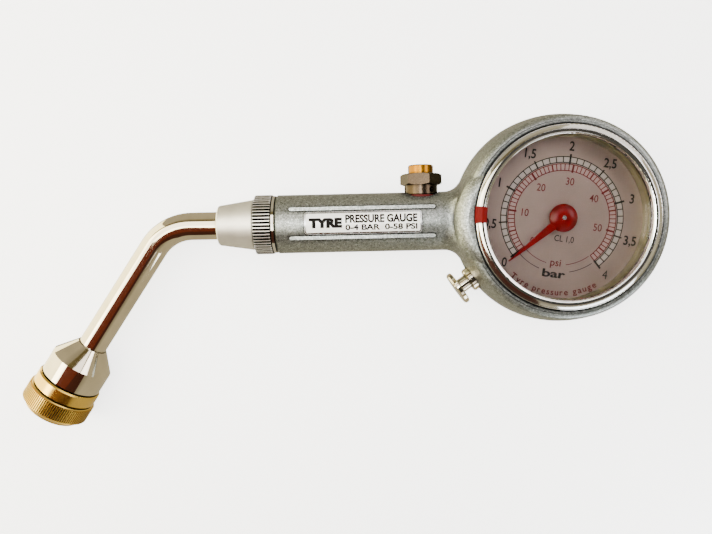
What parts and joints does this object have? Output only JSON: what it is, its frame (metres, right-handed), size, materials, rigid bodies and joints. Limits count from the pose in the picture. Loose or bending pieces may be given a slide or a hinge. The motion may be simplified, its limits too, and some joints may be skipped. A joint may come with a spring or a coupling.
{
  "type": "tyre pressure gauge",
  "caption": "Dial pressure gauge for tyres: cast handle and bowl, bent swivel tube with a valve chuck, bleed and reset buttons.",
  "frame": {"origin": "centre of the housing's flat back, on the dial's axis", "axes": "+X along the handle from the tube towards the dial, +Z out of the dial, +Y towards the bleed valve"},
  "size_m": [0.2327, 0.1096, 0.0293],
  "materials": {
    "cast": "hammered silver-grey",
    "stainless": "polished",
    "nickel": "bright nickel plate",
    "brass": "machined",
    "bronze": "drawn",
    "steel": "turned",
    "glass": "clear",
    "dial_face": "warm silver with printed scales",
    "pointer_red": "gloss",
    "marker_red": "gloss",
    "black_rubber": "matt",
    "red_fibre": "matt",
    "label_white": "printed"
  },
  "bodies": {
    "gauge": {"housing": "cast", "bezel_ring": "stainless", "dial": "dial_face", "spacer_ring": "stainless", "lens_gasket": "black_rubber", "lens": "glass", "movement_back_plate": "brass", "movement_front_plate": "brass", "movement_pillars": "brass", "movement_screws": "steel", "dial_posts": "brass", "bourdon_tube": "bronze", "socket_block": "brass", "hairspring": "bronze", "spigot": "brass", "nut_washer": "stainless", "swivel_oring": "black_rubber", "name_label": "label_white", "check_valve_seat": "brass", "check_valve_retainer": "brass", "check_valve_spring": "steel", "bleed_valve_body": "nickel", "bleed_gasket": "red_fibre", "bleed_spring": "steel", "reset_bush": "nickel", "reset_spring": "steel"},
    "pointer_shaft": {"pointer": "pointer_red", "pointer_arbor": "steel"},
    "sector": {"sector_gear": "brass", "sector_arbor": "steel"},
    "link": {"link": "steel"},
    "tube_tip": {"tube_tip": "brass"},
    "marker": {"set_marker": "marker_red"},
    "nut": {"union_nut": "nickel"},
    "tube": {"bent_tube": "nickel", "tube_collar": "brass", "chuck_body": "nickel", "chuck_ring": "brass", "valve_seal": "black_rubber", "depressor_pin": "brass"},
    "cap": {"chuck_cap": "brass"},
    "check_poppet": {"check_valve_poppet": "brass"},
    "bleed": {"bleed_button": "brass", "bleed_stem": "brass"},
    "reset": {"reset_button": "nickel", "reset_seal": "black_rubber"}
  },
  "joints": [
    {"name": "sector_turn", "type": "hinge", "parent": "gauge", "child": "sector", "pos_m": [-0.00937, 0.01093, 0.011], "axis": [0, 0, 1], "range_deg": [0, 38.57]},
    {"name": "pointer_turn", "type": "hinge", "parent": "gauge", "child": "pointer_shaft", "pos_m": [0, 0, 0.011], "axis": [0, 0, 1], "range_deg": [-270, 0], "deforming": ["hairspring"]},
    {"name": "link_turn", "type": "hinge", "parent": "sector", "child": "link", "pos_m": [-0.00299, 0.01046, 0.0104], "axis": [0, 0, 1], "range_deg": [-38.6, 0]},
    {"name": "tip_travel", "type": "slide", "parent": "gauge", "child": "tube_tip", "axis": [-0.2588, 0.9659, 0], "range_m": [0, 0.0043], "deforming": ["bourdon_tube"]},
    {"name": "marker_turn", "type": "hinge", "parent": "gauge", "child": "marker", "pos_m": [0, 0, 0.028], "axis": [0, 0, 1], "continuous": true},
    {"name": "bleed_press", "type": "slide", "parent": "gauge", "child": "bleed", "axis": [0, -1, 0], "range_m": [0, 0.0024], "stiffness_N_per_m": 1500, "springref_m": -0.001, "deforming": ["bleed_spring"]},
    {"name": "reset_press", "type": "slide", "parent": "gauge", "child": "reset", "axis": [0.8241, 0.5664, 0], "range_m": [0, 0.0019], "stiffness_N_per_m": 1200, "springref_m": -0.001, "deforming": ["reset_spring"]},
    {"name": "tube_swivel", "type": "hinge", "parent": "gauge", "child": "tube", "pos_m": [-0.1, 0, 0.0124], "axis": [1, 0, 0], "continuous": true},
    {"name": "union_nut_turn", "type": "hinge", "parent": "gauge", "child": "nut", "pos_m": [-0.11, 0, 0.0124], "axis": [1, 0, 0], "range_deg": [0, 360]},
    {"name": "chuck_cap_turn", "type": "hinge", "parent": "tube", "child": "cap", "pos_m": [-0.18336, -0.06203, 0.0124], "axis": [-0.5621, -0.8271, 0], "range_deg": [0, 360]},
    {"name": "check_valve_lift", "type": "slide", "parent": "gauge", "child": "check_poppet", "axis": [1, 0, 0], "range_m": [0, 0.002], "stiffness_N_per_m": 300, "springref_m": -0.001, "deforming": ["check_valve_spring"]}
  ],
  "couplings": [
    {"joint": "pointer_turn", "follows": "sector_turn", "ratio": -7},
    {"joint": "link_turn", "follows": "sector_turn", "ratio": -1},
    {"joint": "tip_travel", "follows": "sector_turn", "m_per_rad": 0.0062798}
  ]
}
